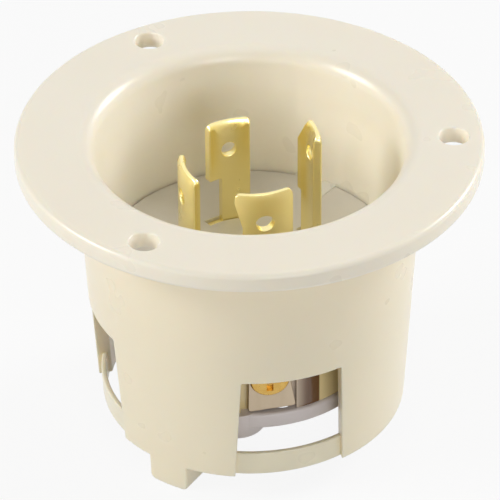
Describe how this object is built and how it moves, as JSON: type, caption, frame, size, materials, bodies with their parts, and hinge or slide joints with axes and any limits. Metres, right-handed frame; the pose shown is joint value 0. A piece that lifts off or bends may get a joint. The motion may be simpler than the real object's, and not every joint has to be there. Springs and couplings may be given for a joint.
{
  "type": "twist lock flanged inlet",
  "caption": "Round flanged power inlet for a panel, with curved locking blades deep in a tapered recess and clamp terminals behind windows in its skirt.",
  "frame": {"origin": "centre of the flange's screw circle, on the flange's seating face", "axes": "+Z out of the panel along the inlet's axis, towards the mating connector; the windows, terminals and blades lie near the X and Y axes"},
  "size_m": [0.0826, 0.0826, 0.0593],
  "materials": {
    "casing_nylon": "natural ivory nylon, moulded, soft gloss",
    "grey_plastic": "warm grey moulded plastic, satin",
    "blade_brass": "bright stamped brass",
    "clamp_plating": "nickel-plated steel, satin",
    "screw_brass": "turned brass",
    "ground_screw_green": "green dyed screw",
    "cover_screw_steel": "zinc-plated steel"
  },
  "bodies": {
    "root": {"casing": "casing_nylon", "front_disc": "grey_plastic", "terminal_housing": "grey_plastic", "rear_cover": "grey_plastic", "ground_blade": "blade_brass", "neutral_blade": "blade_brass", "hot_x_blade": "blade_brass", "hot_y_blade": "blade_brass", "ground_clamp": "clamp_plating", "neutral_clamp": "clamp_plating", "hot_x_clamp": "clamp_plating", "hot_y_clamp": "clamp_plating", "ground_screw": "ground_screw_green", "neutral_screw": "clamp_plating", "hot_x_screw": "screw_brass", "hot_y_screw": "screw_brass", "cover_screw_1": "cover_screw_steel", "cover_screw_2": "cover_screw_steel", "cover_insert_1": "screw_brass", "cover_insert_2": "screw_brass"}
  },
  "joints": []
}
